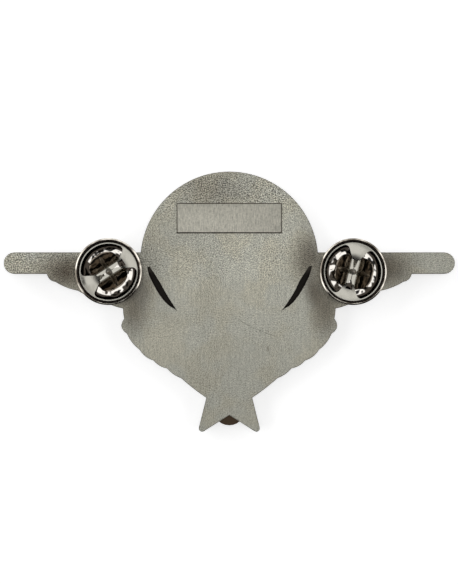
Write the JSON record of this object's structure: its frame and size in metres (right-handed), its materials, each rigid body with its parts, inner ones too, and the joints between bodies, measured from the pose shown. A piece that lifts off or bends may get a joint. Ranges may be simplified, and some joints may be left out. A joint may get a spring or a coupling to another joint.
{
  "type": "pilot wings pin",
  "caption": "Winged shield badge of satin grey metal lying on its face, with sharp posts on its plain back that take round spring butterfly clutches with squeezable ears.",
  "frame": {"origin": "middle of the badge's outline box, on the plane of the front shield's rim that it lies on", "axes": "+X to the right as the back is seen, +Y towards the top of the dome, +Z out of the back along the posts"},
  "size_m": [0.0794, 0.0458, 0.0077],
  "materials": {
    "plate_metal": "satin pewter grey, fine blasted grain on the dome and brushed grain on the wings",
    "plaque_metal": "brushed pewter grey",
    "post_metal": "bright plated steel",
    "clutch_cup_metal": "bright nickel plate",
    "clutch_spring_metal": "bright nickel plate, satin on the flat fans"
  },
  "bodies": {
    "badge": {"badge_plate": "plate_metal", "back_plaque": "plaque_metal", "left_post": "post_metal", "right_post": "post_metal"},
    "left_cup": {"left_clutch_cup": "clutch_cup_metal"},
    "left_spring_plate": {"left_clutch_spring_plate": "clutch_spring_metal"},
    "left_inner_ear": {"left_clutch_inner_ear": "clutch_spring_metal"},
    "left_outer_ear": {"left_clutch_outer_ear": "clutch_spring_metal"},
    "right_cup": {"right_clutch_cup": "clutch_cup_metal"},
    "right_spring_plate": {"right_clutch_spring_plate": "clutch_spring_metal"},
    "right_inner_ear": {"right_clutch_inner_ear": "clutch_spring_metal"},
    "right_outer_ear": {"right_clutch_outer_ear": "clutch_spring_metal"}
  },
  "joints": [
    {"name": "left_clutch_pull", "type": "slide", "parent": "badge", "child": "left_cup", "axis": [0, 0, 1], "range_m": [0, 0.0055]},
    {"name": "left_clutch_turn", "type": "hinge", "parent": "left_cup", "child": "left_spring_plate", "pos_m": [-0.02105, 0.00524, 0.00494], "axis": [0, 0, 1], "continuous": true},
    {"name": "left_inner_ear_squeeze", "type": "hinge", "parent": "left_spring_plate", "child": "left_inner_ear", "pos_m": [-0.02071, 0.00472, 0.00494], "axis": [-0.8387, -0.5446, 0], "range_deg": [0, 20], "stiffness_Nm_per_rad": 0.00015},
    {"name": "left_outer_ear_squeeze", "type": "hinge", "parent": "left_spring_plate", "child": "left_outer_ear", "pos_m": [-0.02139, 0.00576, 0.00494], "axis": [0.8387, 0.5446, 0], "range_deg": [0, 20], "stiffness_Nm_per_rad": 0.00015},
    {"name": "right_clutch_pull", "type": "slide", "parent": "badge", "child": "right_cup", "axis": [0, 0, 1], "range_m": [0, 0.0055]},
    {"name": "right_clutch_turn", "type": "hinge", "parent": "right_cup", "child": "right_spring_plate", "pos_m": [0.0216, 0.00524, 0.00494], "axis": [0, 0, 1], "continuous": true},
    {"name": "right_inner_ear_squeeze", "type": "hinge", "parent": "right_spring_plate", "child": "right_inner_ear", "pos_m": [0.021, 0.00539, 0.00494], "axis": [0.2419, 0.9703, 0], "range_deg": [0, 20], "stiffness_Nm_per_rad": 0.00015},
    {"name": "right_outer_ear_squeeze", "type": "hinge", "parent": "right_spring_plate", "child": "right_outer_ear", "pos_m": [0.0222, 0.00509, 0.00494], "axis": [-0.2419, -0.9703, 0], "range_deg": [0, 20], "stiffness_Nm_per_rad": 0.00015}
  ],
  "couplings": [
    {"joint": "left_outer_ear_squeeze", "follows": "left_inner_ear_squeeze", "ratio": 1},
    {"joint": "right_outer_ear_squeeze", "follows": "right_inner_ear_squeeze", "ratio": 1}
  ]
}
